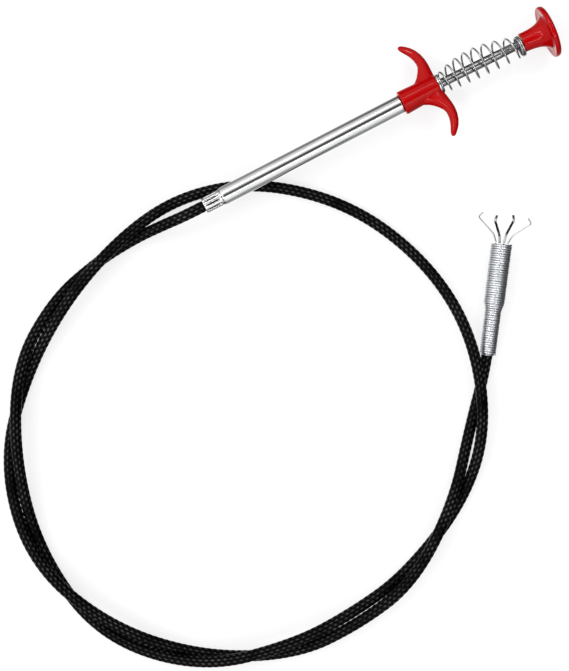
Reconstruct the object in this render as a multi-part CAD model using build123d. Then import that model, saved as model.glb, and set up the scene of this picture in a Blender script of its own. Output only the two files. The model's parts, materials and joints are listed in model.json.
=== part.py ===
"""Claw-type drain auger: a push-knob handle, a long sheathed cable and a coil-spring head with four claws.

Frame, in millimetres: the origin is on the handle's axis at the grip's tube-side face, +X runs along
the handle towards the push knob, +Z is up, and the auger lies on a level surface at z = SURFACE.
"""
from build123d import *
import math
import os

# ---- handle, as distances along +X and radii about the handle's axis ----
GRIP_LENGTH = 20.7
GRIP_RADIUS_REAR = 6.35
GRIP_RADIUS_FRONT = 5.5
GRIP_ROLL = -14.0  # degrees about the handle's axis, as it lies
TUBE_RADIUS = 4.65
TUBE_SEAT_RADIUS = 4.4
TUBE_BORE = 3.85
TUBE_START = -113.4
TUBE_END = 14.0
NECK_LENGTH = 10.2
NECK_RADIUS = 3.7
CRIMP_GROOVES = 6
CRIMP_GROOVE_RADIUS = 1.3
BUSH_LENGTH = 9.0
ROD_RADIUS = 2.4
RUNNING_GAP = 0.06
ROD_START = -20.0
THREAD_PITCH = 0.8
THREAD_DEPTH = 0.22
WASHER_THICKNESS = 0.7
WASHER_RADIUS = 5.2

# ---- push knob ----
KNOB_START = 68.6
KNOB_HUB_RADIUS = 4.9
KNOB_FLANGE_RADIUS = 13.3
KNOB_BACK = 82.1
KNOB_APEX = 86.8
KNOB_RIM = 2.5
INSERT_RADIUS = 3.4
INSERT_LENGTH = 11.0
ROD_IN_KNOB = 10.0

# ---- return spring: a barrel of open turns between closed end turns ----
SPRING_WIRE = 0.5  # wire radius
SPRING_END_RADIUS = 4.7
SPRING_MIDDLE_RADIUS = 7.55
SPRING_HALF_TURNS = 4.5

# ---- travel of the plunger, positive when pressed ----
PRESS_TRAVEL = 4.0
RELEASE_TRAVEL = 10.0

# ---- pull wire and sheath ----
WIRE_RADIUS = 0.9
SHEATH_RADIUS = 2.75
JACKET_BORE = 2.05
LINER_RADIUS = 2.0
LINER_BORE = 1.1
ARC_SHARE = 0.45  # each arc takes this share of the shorter run beside it
SURFACE = -13.3

# The sheath's route from the neck of the handle tube to the head. It crosses itself six times, with
# a hump of two points over each crossing, and lies on the surface between the humps.
ROUTE = [
    (-110.0, 0.0, 0.0),
    (-124.0, 0.0, 0.0),
    (-138.2, 1.6, -6.0),
    (-153.5, 2.5, -10.1),
    (-175.8, 0.8, -10.55),
    (-205.3, -6.3, -9.6),
    (-236.8, -28.4, -3.0),
    (-259.2, -71.0, -3.0),
    (-270.5, -119.9, -10.55),
    (-263.6, -172.5, -10.55),
    (-224.0, -209.8, -3.0),
    (-175.5, -220.3, -3.0),
    (-141.3, -220.1, -8.5),
    (-108.7, -216.0, -10.55),
    (-64.5, -196.0, -10.55),
    (-36.7, -166.3, -3.0),
    (-21.8, -121.4, -3.0),
    (-24.6, -78.1, -10.55),
    (-44.9, -34.5, -10.55),
    (-80.7, -2.1, -10.55),
    (-117.8, 10.2, -7.8),
    (-152.6, 7.4, -3.0),
    (-194.8, -8.2, -3.0),
    (-233.7, -33.0, -10.55),
    (-266.9, -68.7, -10.55),
    (-277.0, -120.2, -3.0),
    (-255.5, -168.1, -3.0),
    (-220.6, -205.2, -10.55),
    (-177.5, -226.5, -10.55),
    (-141.0, -227.1, -6.5),
    (-106.8, -220.0, -3.0),
    (-70.4, -193.9, -3.0),
    (-44.5, -164.1, -10.55),
    (-23.2, -140.3, -9.8),
    (-14.0, -126.6, -7.65),
]

# ---- claw head, as distances along its own axis from its rear end ----
HEAD_LENGTH = 57.9
HEAD_TURNS = 48
HEAD_WIRE = 1.1  # wire diameter
HEAD_REAR_RADIUS = 4.35
HEAD_FRONT_RADIUS = 5.5
HEAD_STEP = (22.5, 28.0)
HEAD_RIB = 0.38
SHEATH_IN_HEAD = 9.5
FERRULE_LENGTH = 11.0
COLLET_RADIUS = 4.0
COLLET_LENGTH = 5.0
COLLET_START = 40.9
HEAD_WIRE_LENGTH = 22.0

# ---- claws: flattened spring wire, four at right angles ----
CLAWS = 4
CLAW_FIRST_ANGLE = 63.7
CLAW_WIDTH = 1.1
CLAW_THICKNESS = 0.5
PIVOT_RADIUS = 3.3
PIVOT_PROUD = 0.5
PIVOT_GAP = 0.65
CLAW_ELBOW = (3.8, 1.7)
CLAW_BEND = (11.4, 11.1)
CLAW_TIP = (13.8, 9.0)
CLAW_ELBOW_ARC = 6.0
CLAW_BEND_ARC = 1.1


def turned(corners):
    """A solid of revolution about the X axis from (x, radius) corners."""
    return revolve(make_face(Polyline(*corners, close=True)), Axis.X)


def ring(start, length, outer, bore):
    """A plain ring or sleeve about the X axis."""
    return turned([(start, bore), (start, outer), (start + length, outer), (start + length, bore)])


# ---- handle pieces ----
def handle_tube():
    """The thin steel tube, its far end swaged down to a neck and crimped on the sheath."""
    neck_end = TUBE_START + NECK_LENGTH
    shoulder = TUBE_RADIUS - NECK_RADIUS
    tube = turned([
        (TUBE_START, SHEATH_RADIUS),
        (TUBE_START, NECK_RADIUS - 0.3),
        (TUBE_START + 0.3, NECK_RADIUS),
        (neck_end, NECK_RADIUS),
        (neck_end + shoulder, TUBE_RADIUS),
        (0, TUBE_RADIUS),
        (0, TUBE_SEAT_RADIUS),
        (TUBE_END, TUBE_SEAT_RADIUS),
        (TUBE_END, TUBE_BORE),
        (neck_end + shoulder, TUBE_BORE),
        (neck_end, SHEATH_RADIUS),
    ])
    depth = NECK_RADIUS + CRIMP_GROOVE_RADIUS - 0.35
    for index in range(CRIMP_GROOVES):
        groove = Pos(TUBE_START + 1.2, 0, depth) * Rot(0, 90, 0) * Cylinder(
            CRIMP_GROOVE_RADIUS, NECK_LENGTH - 2.0, align=(Align.CENTER, Align.CENTER, Align.MIN))
        tube -= Rot(360.0 * index / CRIMP_GROOVES + 30.0, 0, 0) * groove
    return tube


def horn():
    """One crescent horn of the finger grip, lofted through oval sections out to its blunt tip."""
    # centre x, centre y, heading in degrees from +X, width in the grip's plane, thickness across it
    stations = [
        (13.4, 2.0, 66.0, 12.5, 7.6),
        (15.7, 5.8, 66.0, 9.4, 7.3),
        (17.4, 9.8, 73.0, 6.7, 6.7),
        (18.6, 13.4, 84.0, 5.2, 6.0),
        (18.5, 17.0, 95.0, 4.7, 5.4),
        (17.6, 20.4, 106.0, 4.3, 4.8),
        (16.0, 23.3, 116.0, 3.8, 4.1),
        (14.3, 25.4, 125.0, 2.8, 3.1),
        (13.3, 26.6, 128.0, 1.5, 1.7),
    ]
    sections = []
    for x, y, heading, width, thickness in stations:
        turn = math.radians(heading)
        across = (-math.sin(turn), math.cos(turn), 0)
        plane = Plane(origin=(x, y, 0), x_dir=across, z_dir=(math.cos(turn), math.sin(turn), 0))
        sections.append(plane * Ellipse(width / 2, thickness / 2))
    return loft(sections)


def finger_grip():
    """The moulded hub with a horn on each side, bored for the tube and then for the rod."""
    edge = 0.6
    hub = turned([
        (0, 0),
        (0, GRIP_RADIUS_REAR - edge),
        (edge, GRIP_RADIUS_REAR),
        (GRIP_LENGTH - edge, GRIP_RADIUS_FRONT),
        (GRIP_LENGTH, GRIP_RADIUS_FRONT - edge),
        (GRIP_LENGTH, 0),
    ])
    left = horn()
    right = mirror(left, about=Plane.XZ)
    body = hub + left + right
    body -= ring(-1, TUBE_END + 1, TUBE_SEAT_RADIUS, 0)
    body -= ring(TUBE_END - 1, GRIP_LENGTH, ROD_RADIUS + 0.35, 0)
    return Rot(GRIP_ROLL, 0, 0) * body


def guide_bush():
    """The bush in the tube's end that the rod slides in."""
    return ring(TUBE_END - BUSH_LENGTH, BUSH_LENGTH, TUBE_BORE, ROD_RADIUS + RUNNING_GAP)


def grip_washer():
    """The steel washer under the return spring's first turn."""
    return ring(GRIP_LENGTH, WASHER_THICKNESS, WASHER_RADIUS, ROD_RADIUS + 0.35)


def sheath_end_cap():
    """The cap pressed in the tube's neck, where the sheath ends and the pull wire goes on."""
    start = ROUTE[0][0]
    return ring(start, TUBE_START + NECK_LENGTH - start, SHEATH_RADIUS, LINER_BORE)


# ---- plunger pieces ----
def plunger_rod():
    """The steel rod, with its thread cut into the stretch that enters the knob."""
    thread_start = KNOB_START - 13.0
    rod_end = KNOB_START + ROD_IN_KNOB
    corners = [(ROD_START, 0), (ROD_START, ROD_RADIUS), (thread_start, ROD_RADIUS)]
    ridges = int((rod_end - thread_start) / THREAD_PITCH)
    for ridge in range(ridges):
        x = thread_start + ridge * THREAD_PITCH
        corners.append((x + THREAD_PITCH / 2, ROD_RADIUS - THREAD_DEPTH))
        corners.append((x + THREAD_PITCH, ROD_RADIUS))
    corners.append((thread_start + ridges * THREAD_PITCH, 0))
    return turned(corners)


def push_knob():
    """The trumpet-shaped knob: a hub that flares into a domed flange, bored for its insert."""
    hub_edge = 0.5
    insert_end = KNOB_START + INSERT_LENGTH
    waist = (KNOB_START + 7.0, KNOB_HUB_RADIUS + 0.5)
    flare_middle = (KNOB_START + 9.6, KNOB_HUB_RADIUS + 1.1)
    flare = (KNOB_BACK - 1.9, KNOB_HUB_RADIUS + 2.7)
    throat = (KNOB_BACK - 0.6, KNOB_HUB_RADIUS + 4.7)
    lip = (KNOB_BACK, KNOB_FLANGE_RADIUS - 1.0)
    rim_front = (KNOB_BACK + KNOB_RIM, KNOB_FLANGE_RADIUS - 1.0)
    rim_middle = (KNOB_BACK + KNOB_RIM / 2, KNOB_FLANGE_RADIUS)
    rise = KNOB_APEX - rim_front[0]
    dome = (rim_front[1] ** 2 + rise ** 2) / (2 * rise)
    half_turn = math.asin(rim_front[1] / dome) / 2
    dome_middle = (KNOB_APEX - dome * (1 - math.cos(half_turn)), dome * math.sin(half_turn))
    outline = [
        Line((KNOB_START, INSERT_RADIUS), (KNOB_START, KNOB_HUB_RADIUS - hub_edge)),
        Line((KNOB_START, KNOB_HUB_RADIUS - hub_edge), (KNOB_START + hub_edge, KNOB_HUB_RADIUS)),
        Line((KNOB_START + hub_edge, KNOB_HUB_RADIUS), waist),
        ThreePointArc(waist, flare_middle, flare),
        ThreePointArc(flare, throat, lip),
        ThreePointArc(lip, rim_middle, rim_front),
        ThreePointArc(rim_front, dome_middle, (KNOB_APEX, 0)),
        Line((KNOB_APEX, 0), (insert_end, 0)),
        Line((insert_end, 0), (insert_end, INSERT_RADIUS)),
        Line((insert_end, INSERT_RADIUS), (KNOB_START, INSERT_RADIUS)),
    ]
    return revolve(make_face(Wire(outline)), Axis.X)


def knob_insert():
    """The brass insert moulded in the knob, which the rod screws into."""
    insert = ring(KNOB_START, INSERT_LENGTH, INSERT_RADIUS, 0)
    return insert - ring(KNOB_START - 1, ROD_IN_KNOB + 1, ROD_RADIUS, 0)


def stop_collar():
    """The collar on the rod that meets the guide bush when the knob is fully out."""
    length = 5.0
    front = TUBE_END - BUSH_LENGTH - RELEASE_TRAVEL - 0.4
    return ring(front - length, length, TUBE_BORE - 0.35, ROD_RADIUS)


def coupling_sleeve():
    """The sleeve crimped over the rod's end and the pull wire."""
    over_rod = 6.0
    over_wire = 12.0
    outer = ROD_RADIUS + 0.8
    return turned([
        (ROD_START - over_wire, WIRE_RADIUS),
        (ROD_START - over_wire, outer - 0.6),
        (ROD_START - over_wire + 1.2, outer),
        (ROD_START + over_rod, outer),
        (ROD_START + over_rod, ROD_RADIUS),
        (ROD_START, ROD_RADIUS),
        (ROD_START, WIRE_RADIUS),
    ])


def handle_wire():
    """The straight stretch of the pull wire, from the rod to just inside the sheath's end cap."""
    end = ROUTE[0][0] + PRESS_TRAVEL + 1.5
    return ring(end, ROD_START - end, WIRE_RADIUS, 0)


# ---- return spring ----
def return_spring():
    """A barrel spring: two conical halves that meet at the widest turn, and a closed turn at each end."""
    first = GRIP_LENGTH + WASHER_THICKNESS + SPRING_WIRE
    last = KNOB_START - SPRING_WIRE
    half = (last - first) / 2
    growth = SPRING_MIDDLE_RADIUS - SPRING_END_RADIUS
    coil = Helix(
        pitch=half / SPRING_HALF_TURNS,
        height=half,
        radius=SPRING_END_RADIUS,
        center=(first, 0, 0),
        direction=(1, 0, 0),
        cone_angle=math.degrees(math.atan2(growth, half)),
    )
    section = Plane(origin=coil @ 0, z_dir=coil % 0) * Circle(SPRING_WIRE)
    rear_half = sweep(section, path=coil, is_frenet=True)
    joint = coil @ 1
    flip = Axis((joint.X, 0, 0), (0, joint.Y, joint.Z))
    front_half = rear_half.rotate(flip, 180)
    return Compound(children=[rear_half, front_half])


# ---- sheath and its inner pieces ----
def corner_radii(points):
    """The arc radius at each corner, as large as the shorter run beside it allows."""
    radii = []
    for before, corner, after in zip(points, points[1:], points[2:]):
        arriving = Vector(*corner) - Vector(*before)
        leaving = Vector(*after) - Vector(*corner)
        half_turn = math.radians(arriving.get_angle(leaving)) / 2
        radii.append(ARC_SHARE * min(arriving.length, leaving.length) / math.tan(half_turn))
    return radii


ROUTE_RADII = corner_radii(ROUTE)
ROUTE_PATH = FilletPolyline(*ROUTE, radius=ROUTE_RADII)


def along_route(outer, bore):
    """A solid of round or ring section along the whole route."""
    section = Circle(outer)
    if bore:
        section -= Circle(bore)
    return sweep(Plane(origin=ROUTE_PATH @ 0, z_dir=ROUTE_PATH % 0) * section, path=ROUTE_PATH)


# ---- head pieces, made about +X and then placed on the head's axis ----
HEAD_DIRECTION = (Vector(*ROUTE[-1]) - Vector(*ROUTE[-2])).normalized()
HEAD_REAR = Vector(*ROUTE[-1]) - HEAD_DIRECTION * SHEATH_IN_HEAD
HEAD_SIDE = Vector(HEAD_DIRECTION.Y, -HEAD_DIRECTION.X, 0).normalized()
HEAD_PLANE = Plane(origin=HEAD_REAR, x_dir=HEAD_DIRECTION, z_dir=HEAD_DIRECTION.cross(HEAD_SIDE))


def head_spring():
    """The close-wound head, one rib for each turn of wire, wider in front of its step."""
    pitch = HEAD_LENGTH / HEAD_TURNS
    widen = HEAD_FRONT_RADIUS - HEAD_REAR_RADIUS

    def outside(x):
        share = min(max((x - HEAD_STEP[0]) / (HEAD_STEP[1] - HEAD_STEP[0]), 0), 1)
        return HEAD_REAR_RADIUS + widen * share

    outline = []
    for index in range(HEAD_TURNS):
        start = index * pitch
        middle = start + pitch / 2
        end = start + pitch
        outline.append(ThreePointArc(
            (start, outside(start) - HEAD_RIB), (middle, outside(middle)), (end, outside(end) - HEAD_RIB)))
    front_bore = HEAD_FRONT_RADIUS - HEAD_WIRE
    rear_bore = HEAD_REAR_RADIUS - HEAD_WIRE
    outline += Polyline(
        (HEAD_LENGTH, HEAD_FRONT_RADIUS - HEAD_RIB),
        (HEAD_LENGTH, front_bore),
        (HEAD_STEP[1], front_bore),
        (HEAD_STEP[0], rear_bore),
        (0, rear_bore),
        (0, HEAD_REAR_RADIUS - HEAD_RIB),
    ).edges()
    return revolve(make_face(Wire(outline)), Axis.X)


def head_ferrule():
    """The sleeve that joins the sheath's end to the head's rear turns."""
    return ring(0, FERRULE_LENGTH, HEAD_REAR_RADIUS - HEAD_WIRE, SHEATH_RADIUS)


def claw_collet():
    """The plug on the pull wire that carries the four claw shanks and slides in the head."""
    edge = 0.5
    end = COLLET_START + COLLET_LENGTH
    collet = turned([
        (COLLET_START, WIRE_RADIUS),
        (COLLET_START, COLLET_RADIUS - edge),
        (COLLET_START + edge, COLLET_RADIUS),
        (end - edge, COLLET_RADIUS),
        (end, COLLET_RADIUS - edge),
        (end, WIRE_RADIUS),
    ])
    for index in range(CLAWS):
        collet -= about_head(index) * shank_blank()
    return collet


def shank_blank():
    """One straight shank, from inside the collet to just short of its claw's pivot."""
    start = COLLET_START + 1.0
    end = HEAD_LENGTH + PIVOT_PROUD - PIVOT_GAP
    return Pos(start, 0, PIVOT_RADIUS) * Box(
        end - start, CLAW_WIDTH, CLAW_THICKNESS, align=(Align.MIN, Align.CENTER, Align.CENTER))


def claw_shanks():
    """The four shanks, which stay parallel inside the head."""
    return Compound(children=[about_head(index) * shank_blank() for index in range(CLAWS)])


def head_wire():
    """The straight stretch of the pull wire behind the collet."""
    end = COLLET_START + COLLET_LENGTH
    return ring(end - HEAD_WIRE_LENGTH, HEAD_WIRE_LENGTH, WIRE_RADIUS, 0)


def claw():
    """One claw in the XZ plane: it flares from its pivot, bends inward and ends in a hooked tip."""
    start = (0.0, 0.0)
    flare = FilletPolyline(start, CLAW_ELBOW, CLAW_BEND, CLAW_TIP, radius=[CLAW_ELBOW_ARC, CLAW_BEND_ARC])
    path = Plane.XZ * flare
    section = Plane(origin=path @ 0, x_dir=(0, 1, 0), z_dir=path % 0) * Rectangle(CLAW_WIDTH, CLAW_THICKNESS)
    blade = sweep(section, path=path)
    eye = Rot(90, 0, 0) * Cylinder(CLAW_THICKNESS / 2, CLAW_WIDTH)
    return Pos(HEAD_LENGTH + PIVOT_PROUD, 0, PIVOT_RADIUS) * (blade + eye)


def about_head(index):
    """The turn about the head's axis of one claw and its shank."""
    return Rot(CLAW_FIRST_ANGLE + 360.0 * index / CLAWS, 0, 0)


def on_head(piece):
    """A piece made about +X, placed on the head's axis."""
    return HEAD_PLANE * piece


PIECES = {
    "finger_grip": finger_grip(),
    "handle_tube": handle_tube(),
    "guide_bush": guide_bush(),
    "grip_washer": grip_washer(),
    "sheath_end_cap": sheath_end_cap(),
    "push_knob": push_knob(),
    "knob_insert": knob_insert(),
    "plunger_rod": plunger_rod(),
    "stop_collar": stop_collar(),
    "coupling_sleeve": coupling_sleeve(),
    "handle_wire": handle_wire(),
    "return_spring": return_spring(),
    "sheath_jacket": along_route(SHEATH_RADIUS, JACKET_BORE),
    "sheath_liner": along_route(LINER_RADIUS, LINER_BORE),
    "inner_wire": along_route(WIRE_RADIUS, 0),
    "head_spring": on_head(head_spring()),
    "head_ferrule": on_head(head_ferrule()),
    "claw_collet": on_head(claw_collet()),
    "claw_shanks": on_head(claw_shanks()),
    "head_wire": on_head(head_wire()),
}
for claw_index in range(CLAWS):
    PIECES["claw_%d" % (claw_index + 1)] = on_head(about_head(claw_index) * claw())

os.makedirs("parts", exist_ok=True)
for name, piece in PIECES.items():
    export_step(piece, "parts/%s.step" % name)

jacket_section = math.pi * (SHEATH_RADIUS ** 2 - JACKET_BORE ** 2)
print("sheath length %.1f mm" % ROUTE_PATH.length)
print("arc radii, mm:", [round(radius) for radius in ROUTE_RADII])
print("smallest arc: %.1f mm, or %.1f diameters" % (min(ROUTE_RADII), min(ROUTE_RADII) / SHEATH_RADIUS / 2))
print("jacket volume / (section x length): %.4f" % (
    PIECES["sheath_jacket"].volume / (jacket_section * ROUTE_PATH.length)))
print("head rear", HEAD_REAR, "direction", HEAD_DIRECTION, "side", HEAD_SIDE)
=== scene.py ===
"""The looks of the claw-type drain auger, in metres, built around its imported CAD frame."""
import json
import math

import bpy
import numpy as np
from mathutils import Matrix, Vector


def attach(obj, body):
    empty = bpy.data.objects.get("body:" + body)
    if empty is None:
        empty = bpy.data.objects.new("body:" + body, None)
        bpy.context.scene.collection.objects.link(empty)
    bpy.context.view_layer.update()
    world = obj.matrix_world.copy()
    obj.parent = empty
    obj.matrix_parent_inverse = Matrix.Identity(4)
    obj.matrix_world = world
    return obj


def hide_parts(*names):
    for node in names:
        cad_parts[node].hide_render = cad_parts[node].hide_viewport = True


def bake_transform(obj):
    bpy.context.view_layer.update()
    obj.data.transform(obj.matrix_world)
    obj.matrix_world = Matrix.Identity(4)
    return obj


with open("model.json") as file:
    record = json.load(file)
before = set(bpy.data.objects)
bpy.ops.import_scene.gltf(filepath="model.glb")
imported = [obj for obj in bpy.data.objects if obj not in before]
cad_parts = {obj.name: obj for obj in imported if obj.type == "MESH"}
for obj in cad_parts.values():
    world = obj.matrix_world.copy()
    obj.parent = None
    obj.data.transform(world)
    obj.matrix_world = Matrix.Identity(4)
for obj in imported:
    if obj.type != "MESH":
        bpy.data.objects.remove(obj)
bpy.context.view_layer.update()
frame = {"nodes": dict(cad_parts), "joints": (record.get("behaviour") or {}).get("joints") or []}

MM = 0.001
NODES = frame["nodes"]
JOINTS = {joint["name"]: joint for joint in frame["joints"]}

# ---- view: straight down on the object as it lies ----
VIEW_CENTRE = (-0.1074, -0.0775)
VIEW_TURN = math.radians(-27.4)
VIEW_DISTANCE = 0.850
VIEW_HEIGHT = 0.3422

# ---- the sheath's route: the CAD tube's points, with passes that touch drawn together ----
ROUTE = [
    (-0.1100, 0.0000, 0.00000),
    (-0.1240, 0.0000, 0.00000),
    (-0.1382, 0.0016, -0.00600),
    (-0.1535, 0.0025, -0.01010),
    (-0.1758, 0.0008, -0.01055),
    (-0.2051, -0.0066, -0.00960),
    (-0.2366, -0.0286, -0.00300),
    (-0.2595, -0.0710, -0.00300),
    (-0.2714, -0.1198, -0.01055),
    (-0.2631, -0.1720, -0.01055),
    (-0.2236, -0.2093, -0.00300),
    (-0.1755, -0.2203, -0.00300),
    (-0.1413, -0.22055, -0.00850),
    (-0.1087, -0.2160, -0.01055),
    (-0.0645, -0.1960, -0.01055),
    (-0.0367, -0.1663, -0.00300),
    (-0.0218, -0.1214, -0.00300),
    (-0.0246, -0.0781, -0.01055),
    (-0.0449, -0.0345, -0.01055),
    (-0.0807, -0.0021, -0.01055),
    (-0.1178, 0.0102, -0.00780),
    (-0.1526, 0.0074, -0.00300),
    (-0.1950, -0.0079, -0.00300),
    (-0.2339, -0.0328, -0.01055),
    (-0.2666, -0.0687, -0.01055),
    (-0.2761, -0.1203, -0.00300),
    (-0.2560, -0.1686, -0.00300),
    (-0.2211, -0.2057, -0.01055),
    (-0.1775, -0.2265, -0.01055),
    (-0.1410, -0.22665, -0.00650),
    (-0.1068, -0.2200, -0.00300),
    (-0.0704, -0.1939, -0.00300),
    (-0.0445, -0.1641, -0.01055),
    (-0.0232, -0.1403, -0.00980),
    (-0.0140, -0.1266, -0.00765),
]
SHEATH_DIAMETER = 0.0055
FLOOR_Z = -0.0137

# ---- the handle: its axis runs along +X from where the tube enters the grip ----
TUBE_START = -0.1134
TUBE_END = 0.014
GRIP_LENGTH = 0.0207
KNOB_START = 0.0686
TUBE_RADIUS = 0.00465
TUBE_SEAT_RADIUS = 0.0044
TUBE_BORE = 0.00385
GRIP_BORE = 0.0031
ROD_RADIUS = 0.00235

# ---- small leans past the grip, in the floor's plane: rod and knob, knob on its rod, spring ----
ROD_LEAN = math.radians(-1.0)
KNOB_LEAN = math.radians(-2.8)
SPRING_LEAN = math.radians(-2.4)


def make_camera():
    """The camera above the object, rolled so that the handle runs up to the right."""
    data = bpy.data.cameras.new("camera")
    data.sensor_fit = "VERTICAL"
    data.sensor_height = 24.0
    data.lens = data.sensor_height * VIEW_DISTANCE / VIEW_HEIGHT
    data.clip_start = 0.01
    camera = bpy.data.objects.new("camera", data)
    camera.location = (*VIEW_CENTRE, VIEW_DISTANCE)
    camera.rotation_euler = (0.0, 0.0, VIEW_TURN)
    bpy.context.scene.collection.objects.link(camera)
    bpy.context.scene.camera = camera


# ---------------------------------------------------------------- mesh helpers
def add_mesh(name, vertices, faces, smooth=True):
    """A mesh object from arrays, shaded smooth unless told otherwise."""
    data = bpy.data.meshes.new(name)
    data.from_pydata([tuple(v) for v in vertices], [], faces)
    data.polygons.foreach_set("use_smooth", [smooth] * len(data.polygons))
    data.update()
    piece = bpy.data.objects.new(name, data)
    bpy.context.scene.collection.objects.link(piece)
    return piece


def path_frames(points):
    """Unit tangents and two unit normals along a path, carried without twist."""
    steps = np.gradient(points, axis=0)
    tangents = steps / np.linalg.norm(steps, axis=1)[:, None]
    first = np.cross(tangents[0], (0.0, 0.0, 1.0))
    if np.linalg.norm(first) < 0.1:
        first = np.cross(tangents[0], (0.0, 1.0, 0.0))
    normals = [first / np.linalg.norm(first)]
    for tangent in tangents[1:]:
        carried = normals[-1] - tangent * np.dot(normals[-1], tangent)
        normals.append(carried / np.linalg.norm(carried))
    normals = np.array(normals)
    return tangents, normals, np.cross(tangents, normals)


def swept(name, points, radii, sides):
    """A closed tube along points. radii is one number, one for each point, or a grid of points by sides."""
    points = np.asarray(points, float)
    count = len(points)
    tangents, normals, others = path_frames(points)
    angles = np.linspace(0, 2 * math.pi, sides, endpoint=False)
    if np.ndim(radii) < 2:
        radii = np.asarray(radii, float).reshape(-1, 1)
    radii = np.broadcast_to(radii, (count, sides))
    around = (np.cos(angles)[None, :, None] * normals[:, None, :]
              + np.sin(angles)[None, :, None] * others[:, None, :])
    rings = points[:, None, :] + radii[:, :, None] * around
    vertices = np.concatenate([rings.reshape(-1, 3), points[:1], points[-1:]])
    faces = grid_faces(count, sides)
    start, end = count * sides, count * sides + 1
    last = (count - 1) * sides
    for side in range(sides):
        following = (side + 1) % sides
        faces.append((start, following, side))
        faces.append((end, last + side, last + following))
    return add_mesh(name, vertices, faces)


def grid_faces(count, sides, closed=False):
    """Quads of a grid of rings; closed joins the last ring to the first."""
    faces = []
    for ring in range(count if closed else count - 1):
        here, there = ring * sides, ((ring + 1) % count) * sides
        for side in range(sides):
            following = (side + 1) % sides
            faces.append((here + side, here + following, there + following, there + side))
    return faces


def turned(name, profile, sides=96, relief=None):
    """A closed solid of revolution about the X axis from (x, radius) points given in a loop.
    relief(x, angle, radius) returns the radius to use instead."""
    profile = np.asarray(profile, float)
    angles = np.linspace(0, 2 * math.pi, sides, endpoint=False)
    x = np.repeat(profile[:, :1], sides, axis=1)
    radius = np.repeat(profile[:, 1:], sides, axis=1)
    if relief:
        radius = relief(x, np.broadcast_to(angles, x.shape), radius)
    vertices = np.stack([x, radius * np.cos(angles), radius * np.sin(angles)], axis=2).reshape(-1, 3)
    return add_mesh(name, vertices, grid_faces(len(profile), sides, closed=True))


def rounded(corners, steps=4):
    """A closed profile from (x, radius, rounding) corners, each rounding cut as a smooth arc."""
    points = []
    count = len(corners)
    for index, (x, r, rounding) in enumerate(corners):
        here = np.array((x, r))
        if rounding <= 0:
            points.append(here)
            continue
        before = np.array(corners[index - 1][:2]) - here
        after = np.array(corners[(index + 1) % count][:2]) - here
        start = here + before / np.linalg.norm(before) * rounding
        end = here + after / np.linalg.norm(after) * rounding
        for step in range(steps + 1):
            t = step / steps
            points.append((1 - t) ** 2 * start + 2 * t * (1 - t) * here + t ** 2 * end)
    return np.array(points)


def densify(profile, longest):
    """A closed profile with extra points on its longer runs."""
    points = []
    count = len(profile)
    for index in range(count):
        here, there = profile[index], profile[(index + 1) % count]
        pieces = max(1, int(math.ceil(np.linalg.norm(there - here) / longest)))
        for piece in range(pieces):
            points.append(here + (there - here) * piece / pieces)
    return np.array(points)


def evenly(points, spacing):
    """Points a fixed spacing apart along a path."""
    points = np.asarray(points, float)
    lengths = np.concatenate([[0], np.cumsum(np.linalg.norm(np.diff(points, axis=0), axis=1))])
    count = int(round(lengths[-1] / spacing)) + 1
    wanted = np.linspace(0, lengths[-1], count)
    return np.stack([np.interp(wanted, lengths, points[:, axis]) for axis in range(3)], axis=1)


def smooth_step(share):
    """Eases a share from 0 to 1 in and out."""
    return share * share * (3 - 2 * share)


def add_layer(piece, name, values):
    """A number for each vertex, which a material can read by name."""
    layer = piece.data.attributes.new(name, "FLOAT", "POINT")
    layer.data.foreach_set("value", np.asarray(values, np.float32))


def resting(piece, material, body, slot, *nodes):
    """Gives a piece its material and body, and hides the CAD nodes that it stands for; slot is not used."""
    piece.data.materials.clear()
    piece.data.materials.append(material)
    if body:
        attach(piece, body)
    if nodes:
        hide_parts(*nodes)
    return piece


# ---------------------------------------------------------------- materials
# the middle of a noise's values, stretched to the whole spread of a number or of two colours
NUMBER_SPAN = (0.3, 0.7)
COLOUR_SPAN = (0.32, 0.68)
# how much darker the darkest patches of plain steel are
STEEL_SHADE = 0.82


def new_material(name, colour, metallic, roughness):
    """A material with its own Principled shader; returns the material, its nodes, links and shader."""
    material = bpy.data.materials.new(name)
    material.use_nodes = True
    nodes, links = material.node_tree.nodes, material.node_tree.links
    shader = nodes["Principled BSDF"]
    shader.inputs["Base Color"].default_value = (*colour, 1.0)
    shader.inputs["Metallic"].default_value = metallic
    shader.inputs["Roughness"].default_value = roughness
    return material, nodes, links, shader


def add_noise(nodes, links, scale, detail=3.0, stretch=(1.0, 1.0, 1.0)):
    """Noise in the piece's own coordinates, stretched along its axes."""
    place = nodes.new("ShaderNodeTexCoord")
    mapping = nodes.new("ShaderNodeMapping")
    mapping.inputs["Scale"].default_value = stretch
    noise = nodes.new("ShaderNodeTexNoise")
    noise.inputs["Scale"].default_value = scale
    noise.inputs["Detail"].default_value = detail
    links.new(place.outputs["Object"], mapping.inputs["Vector"])
    links.new(mapping.outputs["Vector"], noise.inputs["Vector"])
    return noise.outputs["Fac"]


def vary(nodes, links, factor, low, high, target):
    """Drives a number socket between low and high by a factor."""
    spread = nodes.new("ShaderNodeMapRange")
    spread.inputs["From Min"].default_value = NUMBER_SPAN[0]
    spread.inputs["From Max"].default_value = NUMBER_SPAN[1]
    spread.inputs["To Min"].default_value = low
    spread.inputs["To Max"].default_value = high
    links.new(factor, spread.inputs["Value"])
    links.new(spread.outputs["Result"], target)


def vary_colour(nodes, links, factor, first, second, target):
    """Drives a colour socket between two colours by a factor."""
    ramp = nodes.new("ShaderNodeValToRGB")
    for element, position, colour in zip(ramp.color_ramp.elements, COLOUR_SPAN, (first, second)):
        element.position = position
        element.color = (*colour, 1.0)
    links.new(factor, ramp.inputs["Fac"])
    links.new(ramp.outputs["Color"], target)


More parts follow.
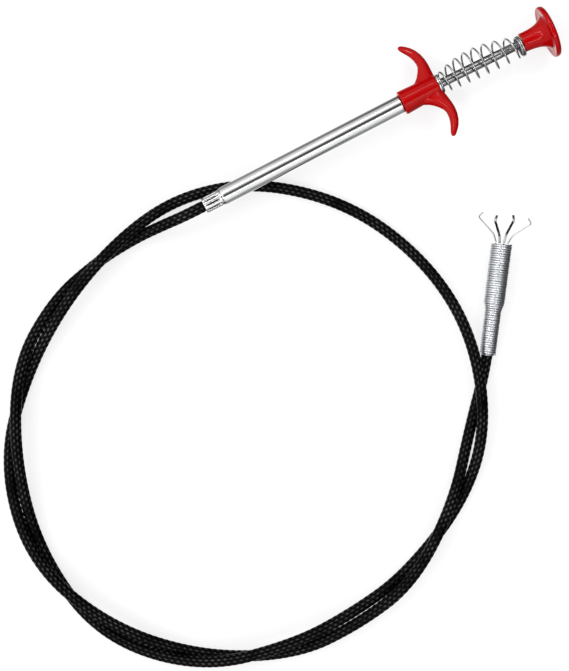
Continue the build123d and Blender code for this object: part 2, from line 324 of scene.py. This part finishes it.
def add_layer_reader(nodes, name):
    """The number that add_layer gave to each vertex under a name."""
    reader = nodes.new("ShaderNodeAttribute")
    reader.attribute_name = name
    return reader.outputs["Fac"]


def add_bump(nodes, links, shader, height, strength, distance):
    """A bump on a shader: distance is its full height in metres."""
    bump = nodes.new("ShaderNodeBump")
    bump.inputs["Strength"].default_value = strength
    bump.inputs["Distance"].default_value = distance
    links.new(height, bump.inputs["Height"])
    links.new(bump.outputs["Normal"], shader.inputs["Normal"])


def red_plastic():
    """Injection-moulded red plastic: a faint ripple under a thin gloss and slightly uneven shade."""
    material, nodes, links, shader = new_material("red_plastic", (0.43, 0.003, 0.004), 0.0, 0.1)
    shader.inputs["Specular IOR Level"].default_value = 0.14
    cloud = add_noise(nodes, links, 160.0, 4.0, (0.35, 1.0, 1.0))
    vary_colour(nodes, links, cloud, (0.365, 0.0006, 0.001), (0.385, 0.0008, 0.0014),
                shader.inputs["Base Color"])
    vary(nodes, links, add_noise(nodes, links, 900.0, 5.0), 0.03, 0.06, shader.inputs["Roughness"])
    add_bump(nodes, links, shader, add_noise(nodes, links, 420.0, 2.0), 0.05, 0.00003)
    return material


def polished_tube():
    """Bright plated tube with fine draw lines along it, faint handling marks and painted shade darkening its
    crimp creases.
    """
    material, nodes, links, shader = new_material("polished_tube", (0.66, 0.665, 0.67), 1.0, 0.1)
    lines = add_noise(nodes, links, 2600.0, 4.0, (0.006, 1.0, 1.0))
    vary(nodes, links, lines, 0.08, 0.15, shader.inputs["Roughness"])
    # painted shade: the base colour goes near black in the crimp creases, where shade would fall
    creased = nodes.new("ShaderNodeMix")
    creased.data_type = "RGBA"
    creased.inputs["B"].default_value = (0.03, 0.03, 0.03, 1.0)
    links.new(add_layer_reader(nodes, "crease"), creased.inputs["Factor"])
    vary_colour(nodes, links, add_noise(nodes, links, 60.0, 5.0), (0.60, 0.605, 0.61), (0.70, 0.705, 0.71),
                creased.inputs["A"])
    links.new(creased.outputs["Result"], shader.inputs["Base Color"])
    add_bump(nodes, links, shader, lines, 0.05, 0.00001)
    return material


def steel(name, colour, low, high, scale=1500.0, stretch=(1.0, 1.0, 1.0)):
    """Plain steel whose roughness and shade vary finely."""
    material, nodes, links, shader = new_material(name, colour, 1.0, (low + high) / 2)
    grain = add_noise(nodes, links, scale, 4.0, stretch)
    vary(nodes, links, grain, low, high, shader.inputs["Roughness"])
    darker = tuple(STEEL_SHADE * c for c in colour)
    patches = add_noise(nodes, links, 240.0, 4.0)
    vary_colour(nodes, links, patches, darker, colour, shader.inputs["Base Color"])
    add_bump(nodes, links, shader, grain, 0.15, 0.00002)
    return material


def braided_black():
    """Black braid of fine threads, with painted highlights: pale glint spots painted here and there on the
    strands' crowns.
    """
    material, nodes, links, shader = new_material("braided_black", (0.003, 0.003, 0.0033), 0.0, 0.4)
    shader.inputs["Specular IOR Level"].default_value = 0.025
    fibre = add_noise(nodes, links, 5200.0, 3.0)
    # painted highlight: pale glint spots on the strands' crowns, painted into the base colour
    painted_glint = nodes.new("ShaderNodeMath")
    painted_glint.operation = "MULTIPLY"
    links.new(add_layer_reader(nodes, "crown"), painted_glint.inputs[0])
    vary(nodes, links, add_noise(nodes, links, 75.0, 4.0), 0.0, 1.0, painted_glint.inputs[1])
    # the pale end of this ramp is the painted highlight colour
    shade = nodes.new("ShaderNodeValToRGB")
    shade.color_ramp.elements[0].color = (0.001, 0.001, 0.0012, 1.0)
    shade.color_ramp.elements[1].color = (0.10, 0.10, 0.102, 1.0)
    links.new(painted_glint.outputs["Value"], shade.inputs["Fac"])
    links.new(shade.outputs["Color"], shader.inputs["Base Color"])
    vary(nodes, links, fibre, 0.16, 0.34, shader.inputs["Roughness"])
    add_bump(nodes, links, shader, fibre, 0.2, 0.00003)
    return material


# ---------------------------------------------------------------- sheath
def route_points():
    """The points along the route's own smooth line."""
    data = bpy.data.curves.new("route", "CURVE")
    data.dimensions = "3D"
    spline = data.splines.new("NURBS")
    spline.points.add(len(ROUTE) - 1)
    for point, place in zip(spline.points, ROUTE):
        point.co = (*place, 1.0)
    spline.order_u = 3
    spline.use_endpoint_u = True
    spline.resolution_u = 96
    curve = bpy.data.objects.new("route", data)
    bpy.context.scene.collection.objects.link(curve)
    bpy.context.view_layer.update()
    line = bpy.data.meshes.new_from_object(curve)
    points = np.array([v.co for v in line.vertices], float)
    bpy.data.objects.remove(curve)
    bpy.data.meshes.remove(line)
    return points


BRAID_STRANDS = 5
BRAID_CELL = 0.0032
BRAID_RELIEF = 0.0002
BRAID_SWELL = 0.00005
BRAID_FADE = 0.001
BRAID_SIDES = 30
BRAID_STEP = 0.00045
# a painted highlight spot's half length and half width on a crown, in cells and in strands
GLINT_SPOT = (0.2, 0.1)
# how much the sheath's plain surface lies under its nominal radius, to clear the tube's neck
SHEATH_INSET = 0.00004
CORE_SIDES = 12
CORE_STEP = 0.003
LINER_RADIUS = 0.0020
PULL_WIRE_RADIUS = 0.0009


def braid_grid(points):
    """Where each point of the sheath's skin lies: in cells along it, and in strands around it."""
    along = np.arange(len(points))[:, None] * BRAID_STEP / BRAID_CELL
    around = np.arange(BRAID_SIDES)[None, :] * BRAID_STRANDS / BRAID_SIDES
    return along, around


def braid_relief(points):
    """The height of a two-way braid at each ring and side of the sheath, 0 to about 1."""
    along, around = braid_grid(points)
    first, second = around + along, around - along

    def strand(across, length, parity):
        nearest = np.round(across)
        offset = across - nearest
        crown = np.sqrt(np.clip(1.0 - (2.0 * offset) ** 2, 0.0, 1.0))
        return 0.6 * crown + 0.5 * np.cos(math.pi * (length + nearest + parity))

    return np.maximum(strand(first, second, 0.0), strand(second, first, 1.0))


def braid_glint_spots(points):
    """How near each point of the skin is to a painted highlight spot on the crown of a strand, 0 to 1."""
    along, around = braid_grid(points)

    def spot(length, turn):
        along_spot = (length - np.round(length)) / GLINT_SPOT[0]
        around_spot = (turn - np.round(turn)) / GLINT_SPOT[1]
        return np.exp(-along_spot ** 2 - around_spot ** 2)

    return np.maximum(spot(along, around), spot(along + 0.5, around + 0.5))


def make_sheath(material):
    """The braided sheath as one tube on the route, plain and a little slimmer inside the handle tube."""
    points = evenly(route_points(), BRAID_STEP)
    outside = np.clip((TUBE_START - points[:, 0]) / BRAID_FADE, 0.0, 1.0)
    off_axis = np.hypot(points[:, 1], points[:, 2])
    outside[off_axis > TUBE_BORE] = 1.0
    skin = BRAID_SWELL + BRAID_RELIEF * braid_relief(points)
    radii = SHEATH_DIAMETER / 2 - SHEATH_INSET + outside[:, None] * skin
    sheath = swept("braided_sheath", points, radii, BRAID_SIDES)
    end_centres = (0.0, 0.0)
    # the crown layer holds the painted highlight spots, which the material shows as pale glints
    add_layer(sheath, "crown", np.concatenate([braid_glint_spots(points).ravel(), end_centres]))
    resting(sheath, material, "handle", "black_sheath", "sheath_jacket")
    return sheath, points


def make_core(name, points, radius, material, slot, node):
    """One of the plain round strands hidden inside the sheath, on the same line."""
    core = swept(name, evenly(points, CORE_STEP), radius, CORE_SIDES)
    return resting(core, material, "handle", slot, node)


# ---------------------------------------------------------------- head
SHEATH_IN_HEAD = 0.0095
HEAD_LENGTH = 0.0579
HEAD_TURNS = 48
HEAD_TURN_POINTS = 22
HEAD_WIRE_RADIUS = 0.00060
HEAD_REAR_RADIUS = 0.00435
HEAD_FRONT_RADIUS = 0.0055
HEAD_STEP = (0.0225, 0.0280)


def head_frame():
    """The matrix that places pieces made about +X, from the head's rear end, on its tilted axis."""
    axis = Vector(JOINTS["carrier_slide"]["axis"]).normalized()
    side = Vector((axis.y, -axis.x, 0.0)).normalized()
    down = axis.cross(side)
    matrix = Matrix((axis, down.cross(axis), down)).transposed().to_4x4()
    matrix.translation = Vector(ROUTE[-1]) - axis * SHEATH_IN_HEAD
    return matrix


def make_head_spring(material, place):
    """The close-wound head: a true helix that widens at its step, wound a little unevenly."""
    turn = np.linspace(0, HEAD_TURNS, HEAD_TURNS * HEAD_TURN_POINTS + 1)
    pitch = (HEAD_LENGTH - 2 * HEAD_WIRE_RADIUS) / HEAD_TURNS
    x = HEAD_WIRE_RADIUS + turn * pitch
    share = smooth_step(np.clip((x - HEAD_STEP[0]) / (HEAD_STEP[1] - HEAD_STEP[0]), 0, 1))
    outer = HEAD_REAR_RADIUS + (HEAD_FRONT_RADIUS - HEAD_REAR_RADIUS) * share
    wobble = 0.00004 * np.sin(turn * 2.3) + 0.00003 * np.sin(turn * 5.1 + 1.0)
    x = x + 0.00003 * np.sin(turn * 3.7)
    radius = outer - HEAD_WIRE_RADIUS + wobble
    angle = 2 * math.pi * turn
    points = np.stack([x, radius * np.cos(angle), radius * np.sin(angle)], axis=1)
    coil = swept("head_coil", points, HEAD_WIRE_RADIUS, 10)
    coil.data.transform(place)
    return resting(coil, material, "handle", "head_zinc", "head_spring")


# ---------------------------------------------------------------- handle pieces
def leaning(x, angle):
    """A small turn in the floor's plane about a point on the handle's axis."""
    pivot = Matrix.Translation((x, 0.0, 0.0))
    return pivot @ Matrix.Rotation(angle, 4, "Z") @ pivot.inverted()


WASHER_THICKNESS = 0.0007
SPRING_WIRE_RADIUS = 0.0005
SPRING_FIRST_RADIUS = 0.0047
SPRING_LAST_RADIUS = 0.0051
SPRING_MIDDLE_RADIUS = 0.00755
SPRING_BOW = 0.0018
SPRING_TURN_POINTS = 40
# turns closed against the washer, open in the barrel, and closed under the knob
SPRING_TURNS = (0.75, 8.0, 2.0)
# the open turns widen a little toward the knob
SPRING_WIDENING = 0.14


def make_return_spring(material):
    """The barrel spring with its closed end turns, between grip and knob."""
    first = GRIP_LENGTH + WASHER_THICKNESS + SPRING_WIRE_RADIUS
    last = KNOB_START - SPRING_WIRE_RADIUS
    start_turns, open_turns, end_turns = SPRING_TURNS
    turns = sum(SPRING_TURNS)
    turn = np.linspace(0, turns, int(turns * SPRING_TURN_POINTS))
    wire = 2 * SPRING_WIRE_RADIUS
    open_start, open_end = first + start_turns * wire, last - end_turns * wire
    share = np.clip((turn - start_turns) / open_turns, 0, 1)
    opening = (1 - SPRING_WIDENING) * share + SPRING_WIDENING * share ** 2
    x = np.where(turn < start_turns, first + turn * wire, open_start + (open_end - open_start) * opening)
    x = np.where(turn > start_turns + open_turns, last - (turns - turn) * wire, x)
    swell = np.sin(math.pi * share)
    ends = SPRING_FIRST_RADIUS + (SPRING_LAST_RADIUS - SPRING_FIRST_RADIUS) * share
    radius = ends + (SPRING_MIDDLE_RADIUS - ends) * swell ** 0.8
    angle = 2 * math.pi * turn
    points = np.stack([x, radius * np.cos(angle) + SPRING_BOW * swell, radius * np.sin(angle)], axis=1)
    spring = swept("barrel_spring", points, SPRING_WIRE_RADIUS, 12)
    spring.data.transform(leaning(first, SPRING_LEAN))
    resting(spring, material, None, "spring_steel", "return_spring")
    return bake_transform(spring)


def make_knob(material):
    """The push knob with its trumpet flare, thick rolled rim and gently domed face."""
    # x and radius in mm: the bore's mouth, stem, flare, back of the flange, rim, face, floor of the bore
    outline = [
        (69.3, 3.4), (69.3, 2.5), (68.6, 2.5),
        (68.6, 4.8), (68.65, 4.93), (68.78, 5.0), (71.0, 5.05), (73.5, 5.18), (75.6, 5.45),
        (77.2, 5.8), (78.6, 6.3), (79.8, 6.95), (80.8, 7.7), (81.5, 8.35), (81.9, 8.75), (82.12, 9.05),
        (82.2, 9.4), (82.12, 10.6), (81.95, 12.0), (81.88, 12.9), (81.98, 13.25),
        (82.3, 13.5), (83.0, 13.6), (83.7, 13.55), (84.3, 13.3), (84.75, 12.7),
        (85.1, 11.5), (85.55, 9.6), (86.0, 7.4), (86.35, 5.2), (86.6, 3.0), (86.66, 2.2), (86.5, 1.9),
        (86.48, 0.0), (79.6, 0.0), (79.6, 3.4),
    ]
    knob = turned("moulded_knob", densify(np.array(outline) * MM, 0.0012), 96)
    knob.data.transform(leaning(GRIP_LENGTH, ROD_LEAN) @ leaning(KNOB_START, KNOB_LEAN))
    return resting(knob, material, "plunger", "red_plastic", "push_knob")


GRIP_ROLL = math.radians(-14.0)
GRIP_REAR_RADIUS = 0.00635
GRIP_FRONT_RADIUS = 0.0055
GRIP_VOXEL = 0.00028
HORN_SKEW = math.radians(2.6)
HORN_SHIFT = (0.0009, -0.0007, 0.0)
HORN_SIDES = 32


def horn_mesh(sign):
    """One crescent horn as rings of ovals out to its blunt tip, moulded a little askew to the tube."""
    # in mm: centre x, centre y, heading in degrees from +X, width in the grip's plane, thickness across it
    stations = np.array([
        (14.4, 3.4, 66.0, 12.6, 8.0),
        (15.6, 5.0, 66.0, 10.6, 7.6),
        (16.6, 6.9, 67.0, 9.0, 7.2),
        (17.7, 9.9, 73.0, 7.1, 6.8),
        (18.5, 12.6, 81.0, 5.8, 6.3),
        (18.7, 15.2, 90.0, 5.2, 5.8),
        (18.3, 18.2, 99.0, 4.9, 5.3),
        (17.4, 21.0, 108.0, 4.6, 4.8),
        (16.1, 23.4, 117.0, 4.2, 4.3),
        (14.7, 25.3, 124.0, 3.6, 3.7),
        (13.6, 26.7, 129.0, 2.9, 3.0),
        (13.0, 27.4, 131.0, 2.2, 2.3),
        (12.7, 27.75, 132.0, 1.4, 1.5),
        (12.5, 27.95, 132.0, 0.5, 0.6),
    ])
    angles = np.linspace(0, 2 * math.pi, HORN_SIDES, endpoint=False)
    rings = []
    for x, y, heading, width, thickness in stations:
        turn = math.radians(heading)
        across = np.array((-math.sin(turn), math.cos(turn), 0.0))
        ring = (np.array((x, y, 0.0)) + np.cos(angles)[:, None] * across * width / 2
                + np.sin(angles)[:, None] * np.array((0.0, 0.0, thickness / 2)))
        rings.append(ring * np.array((1.0, sign, 1.0)))
    skew = Matrix.Rotation(HORN_SKEW, 3, "Z")
    vertices = [skew @ Vector(v) + Vector(HORN_SHIFT) for v in np.concatenate(rings) * MM]
    faces = grid_faces(len(rings), HORN_SIDES)
    faces.append(tuple(range(HORN_SIDES))[::-1])
    faces.append(tuple(range((len(rings) - 1) * HORN_SIDES, len(rings) * HORN_SIDES)))
    return add_mesh("horn", vertices, faces)


def make_grip(material):
    """The moulded finger grip: hub and horns merged, smoothed so that they flow together, and bored out."""
    profile = densify(rounded([
        (0.0, TUBE_SEAT_RADIUS, 0.0),
        (0.0, GRIP_REAR_RADIUS, 0.0005),
        (GRIP_LENGTH, GRIP_FRONT_RADIUS, 0.0006),
        (GRIP_LENGTH, GRIP_BORE, 0.0002),
        (TUBE_END, GRIP_BORE, 0.0),
        (TUBE_END, TUBE_SEAT_RADIUS, 0.0),
    ]), 0.0008)
    hub = turned("moulded_grip", profile, 96)
    parts = [hub, horn_mesh(1.0), horn_mesh(-1.0)]
    with bpy.context.temp_override(active_object=hub, object=hub, selected_objects=parts,
                                   selected_editable_objects=parts):
        bpy.ops.object.join()
    remesh = hub.modifiers.new("merge", "REMESH")
    remesh.mode = "VOXEL"
    remesh.voxel_size = GRIP_VOXEL
    smooth = hub.modifiers.new("flow", "SMOOTH")
    smooth.factor = 0.5
    smooth.iterations = 10
    applied = bpy.data.meshes.new_from_object(hub.evaluated_get(bpy.context.evaluated_depsgraph_get()))
    hub.modifiers.clear()
    hub.data = applied
    hub.data.polygons.foreach_set("use_smooth", [True] * len(hub.data.polygons))
    # the horns' roots reach into the bores, so everything in there is pushed out to their walls
    for vertex in hub.data.vertices:
        bore = TUBE_SEAT_RADIUS if vertex.co.x < TUBE_END else GRIP_BORE
        reach = math.hypot(vertex.co.y, vertex.co.z)
        if reach < bore:
            vertex.co.yz = (vertex.co.y * bore / reach, vertex.co.z * bore / reach)
    hub.data.transform(Matrix.Rotation(GRIP_ROLL, 4, "X"))
    return resting(hub, material, "handle", "red_plastic", "finger_grip")


NECK_LENGTH = 0.0096
NECK_RADIUS = 0.0041
NECK_BORE = 0.00277
CRIMPS = 10
CRIMP_DEPTH = 0.00075
CRIMP_PHASE = math.radians(30.5)
# only the neck's outer skin is creased: its bore lies inside this radius
CRIMP_SKIN = 0.0032
# how far the creases stay from the neck's two ends, and how long they take to reach their depth
CRIMP_MARGINS = (0.0008, 0.0006)
CRIMP_FADE = 0.0008


def make_tube(material):
    """The handle tube with its swaged neck, crimped by creases pressed along it."""
    neck_end = TUBE_START + NECK_LENGTH
    profile = densify(rounded([
        (TUBE_START, NECK_BORE, 0.0002),
        (TUBE_START, NECK_RADIUS, 0.0004),
        (neck_end - 0.0002, NECK_RADIUS, 0.0008),
        (neck_end + 0.0012, TUBE_RADIUS, 0.0008),
        (0.0, TUBE_RADIUS, 0.0),
        (0.0, TUBE_SEAT_RADIUS, 0.0),
        (TUBE_END, TUBE_SEAT_RADIUS, 0.0),
        (TUBE_END, TUBE_BORE, 0.0),
        (neck_end + 0.001, TUBE_BORE, 0.0),
        (neck_end, NECK_BORE, 0.0),
    ]), 0.0009)

    def crease(x, angle):
        rise = np.clip((x - TUBE_START - CRIMP_MARGINS[0]) / CRIMP_FADE, 0, 1)
        fall = np.clip((neck_end - CRIMP_MARGINS[1] - x) / CRIMP_FADE, 0, 1)
        window = smooth_step(rise * fall)
        return window * (0.5 + 0.5 * np.cos(CRIMPS * (angle - CRIMP_PHASE))) ** 3

    def relief(x, angle, radius):
        return radius - CRIMP_DEPTH * crease(x, angle) * (radius > CRIMP_SKIN)

    tube = turned("plated_tube", profile, 192, relief)
    # the creases' depth goes to the mesh as a layer, which the material paints as shade
    skin = np.array([v.co for v in tube.data.vertices])
    add_layer(tube, "crease", crease(skin[:, 0], np.arctan2(skin[:, 2], skin[:, 1])))
    return resting(tube, material, "handle", "chrome_tube", "handle_tube")


ROD_START = -0.020
ROD_CHAMFER = 0.0003
ROD_IN_KNOB = 0.0098
THREAD_OUTSIDE = 0.013
THREAD_PITCH = 0.0008
THREAD_DEPTH = 0.00024


def make_rod(material):
    """The plunger rod, straight in its bush and leaning beyond the grip, threaded near the knob."""
    end = KNOB_START + ROD_IN_KNOB
    thread_start = KNOB_START - THREAD_OUTSIDE
    shaft = [(ROD_START, 0.0), (ROD_START, ROD_RADIUS - ROD_CHAMFER), (ROD_START + ROD_CHAMFER, ROD_RADIUS),
             (GRIP_LENGTH, ROD_RADIUS)]
    threaded = [(x, ROD_RADIUS) for x in np.arange(thread_start, end, THREAD_PITCH / 10)]
    profile = np.array(shaft + threaded + [(end, 0.0)])

    def relief(x, angle, radius):
        depth = np.clip((x - thread_start) / (2 * THREAD_PITCH), 0, 1) * THREAD_DEPTH
        wave = 0.5 + 0.5 * np.cos(2 * math.pi * x / THREAD_PITCH - angle)
        return np.where((radius > 0) & (x >= thread_start), radius - depth * wave ** 1.5, radius)

    rod = turned("threaded_rod", profile, 64, relief)
    lean = leaning(GRIP_LENGTH, ROD_LEAN)
    for vertex in rod.data.vertices:
        if vertex.co.x > GRIP_LENGTH / 2:
            vertex.co = lean @ vertex.co
    return resting(rod, material, "plunger", "rod_steel", "plunger_rod")


# ---------------------------------------------------------------- stage
def make_floor():
    """A plain white table just under the object. It takes shadows but isn't mirrored in the object."""
    size = 6.0
    corners = [(-size, -size, FLOOR_Z), (size, -size, FLOOR_Z), (size, size, FLOOR_Z), (-size, size, FLOOR_Z)]
    floor = add_mesh("floor", corners, [(0, 1, 2, 3)], smooth=False)
    material, _, _, shader = new_material("floor", (0.27, 0.27, 0.27), 0.0, 0.9)
    shader.inputs["Specular IOR Level"].default_value = 0.0
    shader.inputs["Emission Color"].default_value = (1.0, 1.0, 1.0, 1.0)
    shader.inputs["Emission Strength"].default_value = 0.72
    floor.data.materials.append(material)
    floor.visible_glossy = False
    floor.visible_diffuse = False
    floor.visible_shadow = False


def toward(azimuth, zenith):
    """The unit vector at an azimuth from +X and an angle from straight up, in degrees."""
    around, tilt = math.radians(azimuth), math.radians(zenith)
    return (math.sin(tilt) * math.cos(around), math.sin(tilt) * math.sin(around), math.cos(tilt))


class Sky:
    """The studio around the object, as a brightness for each direction, built up light by light."""

    def __init__(self, nodes, links, ground, above):
        self.nodes, self.links = nodes, links
        self.place = nodes.new("ShaderNodeTexCoord")
        self.total = self.ramp(self.along((0.0, 0.0, 1.0)), -0.35, 0.35, ground, above)

    def along(self, direction):
        """How far each direction points along this one, -1 to 1."""
        dot = self.nodes.new("ShaderNodeVectorMath")
        dot.operation = "DOT_PRODUCT"
        dot.inputs[1].default_value = direction
        self.links.new(self.place.outputs["Generated"], dot.inputs[0])
        return dot.outputs["Value"]

    def ramp(self, value, low, high, first, last):
        """Eases from first to last while a value goes from low to high."""
        spread = self.nodes.new("ShaderNodeMapRange")
        spread.interpolation_type = "SMOOTHSTEP"
        for name, setting in (("From Min", low), ("From Max", high), ("To Min", first), ("To Max", last)):
            spread.inputs[name].default_value = setting
        self.links.new(value, spread.inputs["Value"])
        return spread.outputs["Result"]

    def math(self, operation, first, second):
        """Two values joined by an operation."""
        node = self.nodes.new("ShaderNodeMath")
        node.operation = operation
        self.links.new(first, node.inputs[0])
        self.links.new(second, node.inputs[1])
        return node.outputs["Value"]

    def disc(self, direction, full, none, outside, inside):
        """One level within an angle of a direction, another beyond a wider one."""
        reach = [math.cos(math.radians(angle)) for angle in (none, full)]
        return self.ramp(self.along(direction), reach[0], reach[1], outside, inside)

    def shade(self, direction, full, none, level):
        """Darkens everything so far, to a share of itself around a direction."""
        self.total = self.math("MULTIPLY", self.total, self.disc(direction, full, none, 1.0, level))

    def light(self, direction, full, none, level):
        """Adds a round soft light."""
        self.total = self.math("ADD", self.total, self.disc(direction, full, none, 0.0, level))

    def ring(self, zenith, width, level, gap, full, none):
        """Adds a hot ring around straight up, left almost open around one direction."""
        height = self.along((0.0, 0.0, 1.0))
        edges = [math.cos(math.radians(zenith + share * width)) for share in (1.5, 0.5, -0.5, -1.5)]
        band = self.math("MULTIPLY", self.ramp(height, edges[0], edges[1], 0.0, level),
                         self.ramp(height, edges[2], edges[3], 1.0, 0.0))
        opened = self.math("MULTIPLY", band, self.disc(gap, full, none, 1.0, 0.05))
        self.total = self.math("ADD", self.total, opened)


def make_light():
    """A pale surround with four dark patches, four soft lights and a thin hot ring lamp."""
    world = bpy.data.worlds.new("studio")
    bpy.context.scene.world = world
    world.use_nodes = True
    nodes, links = world.node_tree.nodes, world.node_tree.links
    sky = Sky(nodes, links, 0.38, 0.85)
    sky.light(toward(165.0, 100.0), 26.0, 62.0, 0.3)
    sky.light(toward(180.0, 165.0), 15.0, 45.0, 0.9)
    sky.shade(toward(340.0, 90.0), 41.0, 66.0, 0.12)
    sky.shade(toward(270.0, 5.0), 9.0, 24.0, 0.08)
    sky.shade(toward(226.0, 117.0), 20.0, 34.0, 0.06)
    sky.shade(toward(64.0, 97.0), 16.0, 28.0, 0.06)
    sky.light(toward(125.0, 40.0), 22.0, 44.0, 0.45)
    sky.light(toward(268.0, 48.0), 15.0, 34.0, 0.45)
    sky.ring(36.5, 1.2, 16.0, toward(330.0, 36.5), 14.0, 26.0)
    links.new(sky.total, nodes["Background"].inputs["Strength"])
    nodes["Background"].inputs["Color"].default_value = (1.0, 1.0, 1.0, 1.0)
    bpy.context.scene.view_settings.view_transform = "Standard"


# ---------------------------------------------------------------- build
make_camera()
black = braided_black()
sheath, sheath_points = make_sheath(black)
place_on_head = head_frame()
zinc = steel("bright_zinc", (0.68, 0.695, 0.72), 0.26, 0.38)
claw_steel = steel("claw_steel", (0.5, 0.5, 0.51), 0.12, 0.2)
rod_steel = steel("rod_steel", (0.27, 0.27, 0.275), 0.14, 0.28)
spring_steel = steel("spring_steel", (0.42, 0.427, 0.435), 0.12, 0.24)
wire_steel = steel("wire_steel", (0.45, 0.45, 0.46), 0.3, 0.5)
liner_steel = steel("liner_steel", (0.35, 0.35, 0.36), 0.35, 0.55)
washer_steel = steel("washer_steel", (0.70, 0.71, 0.72), 0.2, 0.34)
brass = steel("turned_brass", (0.75, 0.56, 0.26), 0.22, 0.36)
red = red_plastic()
chrome = polished_tube()
head_coil = make_head_spring(zinc, place_on_head)
make_return_spring(spring_steel)
make_knob(red)
make_grip(red)
make_tube(chrome)
make_rod(rod_steel)
liner = make_core("steel_liner", sheath_points, LINER_RADIUS, liner_steel, "liner_steel", "sheath_liner")
pull_wire = make_core("pull_wire", sheath_points, PULL_WIRE_RADIUS, wire_steel, "wire_steel", "inner_wire")
kept = (
    (brass, ("guide_bush", "knob_insert", "sheath_end_cap")),
    (washer_steel, ("grip_washer",)),
    (rod_steel, ("stop_collar", "coupling_sleeve", "claw_collet")),
    (wire_steel, ("handle_wire", "head_wire")),
    (liner_steel, ("head_ferrule",)),
    (claw_steel, ("claw_shanks", "claw_1", "claw_2", "claw_3", "claw_4")),
)
for material, names in kept:
    for name in names:
        NODES[name].data.materials.clear()
        NODES[name].data.materials.append(material)
make_floor()
make_light()
